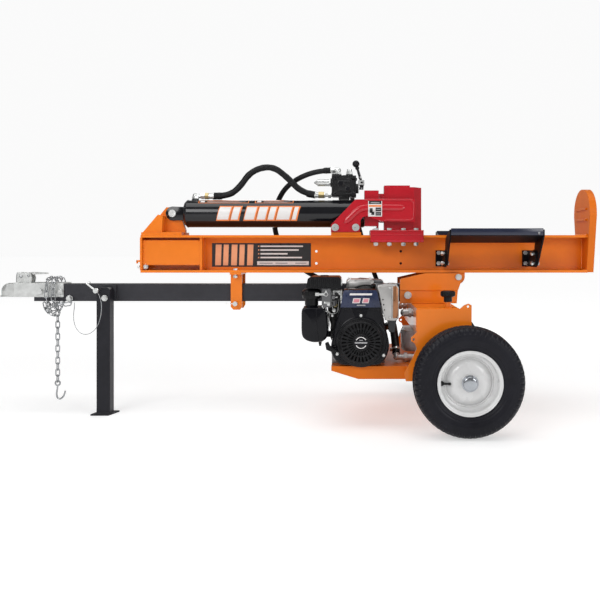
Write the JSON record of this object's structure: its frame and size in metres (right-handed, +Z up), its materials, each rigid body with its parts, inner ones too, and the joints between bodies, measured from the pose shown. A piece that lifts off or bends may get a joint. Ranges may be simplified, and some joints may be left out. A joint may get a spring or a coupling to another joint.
{
  "type": "log splitter",
  "caption": "Towable hydraulic log splitter: tilting beam with ram-driven wedge and foot plate, petrol engine and pump on a wheeled tank frame, drawbar with ball coupler and folding stand.",
  "frame": {"origin": "centre of the footprint on the ground, beneath the middle of the machine's length", "axes": "+X from the hitch coupler towards the foot plate, +Z up, -Y is the side with the engine's starter and the control side seen in use"},
  "size_m": [2.437, 0.954, 1.033],
  "materials": {
    "charcoal_paint": "semi-gloss powder coat",
    "zinc": "bright zinc plate",
    "orange_paint": "gloss orange enamel",
    "red_paint": "gloss red enamel",
    "black_paint": "gloss black enamel",
    "steel": "machined steel",
    "black_iron": "black painted casting",
    "cast_aluminium": "die cast",
    "black_plastic": "fine textured moulding",
    "lever_black": "black, ball end",
    "hose_rubber": "wrapped rubber",
    "tyre_rubber": "rubber",
    "white_rim": "off-white enamel"
  },
  "bodies": {
    "chassis": {"tongue_tube": "charcoal_paint", "hitch_coupler": "zinc", "safety_chain_wrap": "zinc", "pin_lanyard": "zinc", "beam_mount_bracket": "orange_paint", "chassis_bolts": "zinc", "hydraulic_tank": "orange_paint", "tank_end_plates": "orange_paint", "filter_and_fittings": "zinc", "axle": "black_paint", "wheel_bearings": "steel", "engine_base": "orange_paint", "engine_crankcase": "cast_aluminium", "blower_housing": "black_plastic", "starter_cover": "black_plastic", "air_cleaner": "black_plastic", "carburettor": "cast_aluminium", "fuel_tank": "black_plastic", "muffler": "black_paint", "pump_mount": "black_iron", "pump_body": "cast_aluminium", "suction_hose": "hose_rubber", "pressure_hose_lower": "hose_rubber", "return_hose_lower": "hose_rubber"},
    "beam": {"splitting_beam": "orange_paint", "foot_plate": "orange_paint", "cylinder_anchor": "orange_paint", "saddle_bracket": "orange_paint", "cylinder_barrel": "black_paint", "valve_body": "black_iron", "valve_fittings": "zinc", "stripper_plates": "red_paint", "log_cradles": "black_paint", "beam_bolts": "zinc", "cylinder_hose": "hose_rubber", "pressure_hose_upper": "hose_rubber", "return_hose_upper": "hose_rubber"},
    "ram": {"piston_rod": "steel", "wedge": "red_paint", "wedge_slide": "red_paint", "slide_bolts": "zinc"},
    "lever": {"control_lever": "lever_black"},
    "spool": {"valve_spool": "steel"},
    "saddle_pin": {"saddle_lock_pin": "zinc"},
    "wheel_left": {"tyre_left": "tyre_rubber", "rim_left": "white_rim"},
    "wheel_right": {"tyre_right": "tyre_rubber", "rim_right": "white_rim"},
    "stand": {"stand_leg": "charcoal_paint"},
    "stand_pin": {"stand_lock_pin": "zinc"},
    "latch": {"coupler_latch": "zinc"},
    "clamp": {"ball_clamp": "zinc"},
    "chain": {"safety_chain": "zinc"},
    "hook": {"chain_hook": "zinc"},
    "tank_cap": {"breather_cap": "black_plastic"},
    "fuel_cap_body": {"fuel_cap": "black_plastic"},
    "throttle": {"throttle_lever": "zinc"},
    "grip": {"starter_grip": "black_plastic"},
    "crank": {"crankshaft": "steel"},
    "idler": {"pump_idler_gear": "steel"}
  },
  "joints": [
    {"name": "beam_tilt", "type": "hinge", "parent": "chassis", "child": "beam", "pos_m": [0.661, 0, 0.553], "axis": [0, 1, 0], "range_deg": [0, 90]},
    {"name": "ram_stroke", "type": "slide", "parent": "beam", "child": "ram", "axis": [1, 0, 0], "range_m": [0, 0.61]},
    {"name": "valve_lever", "type": "hinge", "parent": "beam", "child": "lever", "pos_m": [0.273, 0, 0.94], "axis": [0, 1, 0], "range_deg": [-12, 12], "stiffness_Nm_per_rad": 1.2},
    {"name": "spool_shift", "type": "slide", "parent": "beam", "child": "spool", "axis": [1, 0, 0], "range_m": [-0.0052, 0.0052]},
    {"name": "saddle_pin_push", "type": "slide", "parent": "beam", "child": "saddle_pin", "axis": [0, 1, 0], "range_m": [0, 0.02]},
    {"name": "wheel_left_spin", "type": "hinge", "parent": "chassis", "child": "wheel_left", "pos_m": [0.645, -0.42, 0.198], "axis": [0, 1, 0], "continuous": true},
    {"name": "wheel_right_spin", "type": "hinge", "parent": "chassis", "child": "wheel_right", "pos_m": [0.645, 0.42, 0.198], "axis": [0, 1, 0], "continuous": true},
    {"name": "stand_fold", "type": "hinge", "parent": "chassis", "child": "stand", "pos_m": [-0.759, -0.07, 0.469], "axis": [0, -1, 0], "range_deg": [0, 90]},
    {"name": "stand_pin_push", "type": "slide", "parent": "stand", "child": "stand_pin", "axis": [0, 1, 0], "range_m": [0, 0.018]},
    {"name": "latch_lift", "type": "hinge", "parent": "chassis", "child": "latch", "pos_m": [-1.13, 0, 0.552], "axis": [0, -1, 0], "range_deg": [0, 80]},
    {"name": "clamp_swing", "type": "hinge", "parent": "chassis", "child": "clamp", "pos_m": [-1.135, 0, 0.505], "axis": [0, -1, 0], "range_deg": [0, 20]},
    {"name": "chain_swing", "type": "hinge", "parent": "chassis", "child": "chain", "pos_m": [-0.966, -0.052, 0.3651], "axis": [0, 1, 0], "range_deg": [-20, 40]},
    {"name": "hook_swing", "type": "hinge", "parent": "chain", "child": "hook", "pos_m": [-0.966, -0.052, 0.1195], "axis": [0, 1, 0], "range_deg": [-45, 45]},
    {"name": "tank_cap_turn", "type": "hinge", "parent": "chassis", "child": "tank_cap", "pos_m": [0.591, -0.29, 0.49], "axis": [0, 0, 1], "range_deg": [0, 270]},
    {"name": "fuel_cap_turn", "type": "hinge", "parent": "chassis", "child": "fuel_cap_body", "pos_m": [0.08, -0.255, 0.49], "axis": [0, 0, 1], "range_deg": [0, 120]},
    {"name": "throttle_swing", "type": "hinge", "parent": "chassis", "child": "throttle", "pos_m": [0.136, -0.295, 0.498], "axis": [0, 1, 0], "range_deg": [-25, 18]},
    {"name": "starter_pull", "type": "slide", "parent": "chassis", "child": "grip", "axis": [-0.8008, -0.1001, -0.5906], "range_m": [0, 0.1], "stiffness_N_per_m": 20, "springref_m": -0.05},
    {"name": "crank_spin", "type": "hinge", "parent": "chassis", "child": "crank", "pos_m": [0.266, 0, 0.324], "axis": [0, 1, 0], "continuous": true},
    {"name": "idler_spin", "type": "hinge", "parent": "chassis", "child": "idler", "pos_m": [0.266, 0.1, 0.36], "axis": [0, 1, 0], "continuous": true}
  ],
  "couplings": [
    {"joint": "spool_shift", "follows": "valve_lever", "m_per_rad": -0.024},
    {"joint": "clamp_swing", "follows": "latch_lift", "ratio": 0.25},
    {"joint": "idler_spin", "follows": "crank_spin", "ratio": -1}
  ]
}
